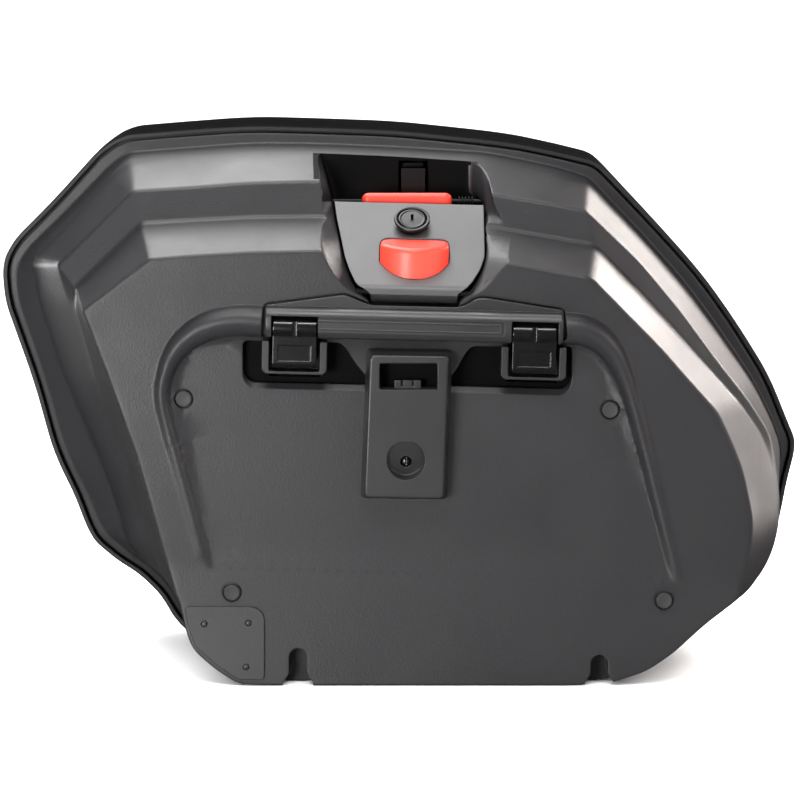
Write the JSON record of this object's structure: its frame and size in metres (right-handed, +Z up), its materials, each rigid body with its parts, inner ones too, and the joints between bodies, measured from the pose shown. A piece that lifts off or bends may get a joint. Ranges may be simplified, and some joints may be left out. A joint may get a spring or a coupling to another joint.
{
  "type": "motorcycle side case",
  "caption": "Hard side case for a motorcycle: bike-side shell with carrying flap, lock, catch hooks and bracket, and a lid hinged along the bottom.",
  "frame": {"origin": "centre of the bounding box at the case's lowest level", "axes": "+X along the case, +Y outwards from the motorcycle, +Z up; the motorcycle is on the -Y side"},
  "size_m": [0.5483, 0.24, 0.3711],
  "materials": {
    "shell": "satin, fine moulded grain",
    "lid": "satin, fine moulded grain",
    "flap": "satin",
    "red": "gloss",
    "dark": "semi-gloss",
    "steel": "zinc plated",
    "rubber": "matt"
  },
  "bodies": {
    "base": {"inner_shell": "shell", "mechanism_cover": "shell", "hook_guide_left": "dark", "hook_guide_right": "dark", "handle_pin": "steel", "lever_pin": "steel", "lever_spring": "steel", "mounting_bracket": "shell", "bracket_screw": "steel", "corner_plate": "shell", "plate_rivet_1": "dark", "plate_rivet_2": "dark", "plate_rivet_3": "dark", "pad_1": "rubber", "pad_2": "rubber", "pad_3": "rubber", "pad_4": "rubber", "hinge_leaf_shell_1": "steel", "hinge_leaf_shell_2": "steel", "hinge_pin_1": "steel", "hinge_pin_2": "steel"},
    "lid": {"lid_shell": "lid", "lid_gasket": "rubber", "lid_trim_panel": "lid", "striker_plate": "steel", "hinge_leaf_lid_1": "steel", "hinge_leaf_lid_2": "steel"},
    "handle": {"handle_flap": "flap", "lock_ring": "dark", "button_spring": "steel"},
    "lock": {"lock_cylinder": "dark", "lock_cam": "steel"},
    "button": {"release_button": "red"},
    "lever": {"lid_lever": "red"},
    "bolt": {"latch_bolt": "steel"},
    "hooks": {"hook_left": "dark", "hook_right": "dark", "hook_shaft": "steel"}
  },
  "joints": [
    {"name": "lid_hinge", "type": "hinge", "parent": "base", "child": "lid", "pos_m": [0, -0.004, 0.0031], "axis": [-1, 0, 0], "range_deg": [0, 85]},
    {"name": "handle_lift", "type": "hinge", "parent": "base", "child": "handle", "pos_m": [0.00971, -0.1036, 0.26079], "axis": [0.9997, 0, -0.0244], "range_deg": [0, 40]},
    {"name": "lock_turn", "type": "hinge", "parent": "handle", "child": "lock", "pos_m": [0.00803, -0.0634, 0.30266], "axis": [0.0189, -0.6346, 0.7726], "range_deg": [0, 90]},
    {"name": "button_press", "type": "slide", "parent": "handle", "child": "button", "axis": [-0.0244, 0, -0.9997], "range_m": [0, 0.004], "stiffness_N_per_m": 500, "springref_m": -0.004, "deforming": ["button_spring"]},
    {"name": "bolt_draw", "type": "slide", "parent": "base", "child": "bolt", "axis": [0, 0, -1], "range_m": [0, 0.003], "stiffness_N_per_m": 400, "springref_m": -0.004},
    {"name": "lever_pull", "type": "hinge", "parent": "base", "child": "lever", "pos_m": [0, -0.027, 0.316], "axis": [-1, 0, 0], "range_deg": [0, 15]},
    {"name": "hook_swing", "type": "hinge", "parent": "base", "child": "hooks", "pos_m": [0.0091, -0.1095, 0.236], "axis": [0.9997, 0, -0.0244], "range_deg": [-27, 0]}
  ],
  "couplings": [
    {"joint": "hook_swing", "follows": "handle_lift", "ratio": -0.675},
    {"joint": "lever_pull", "follows": "bolt_draw", "rad_per_m": 87.26}
  ]
}
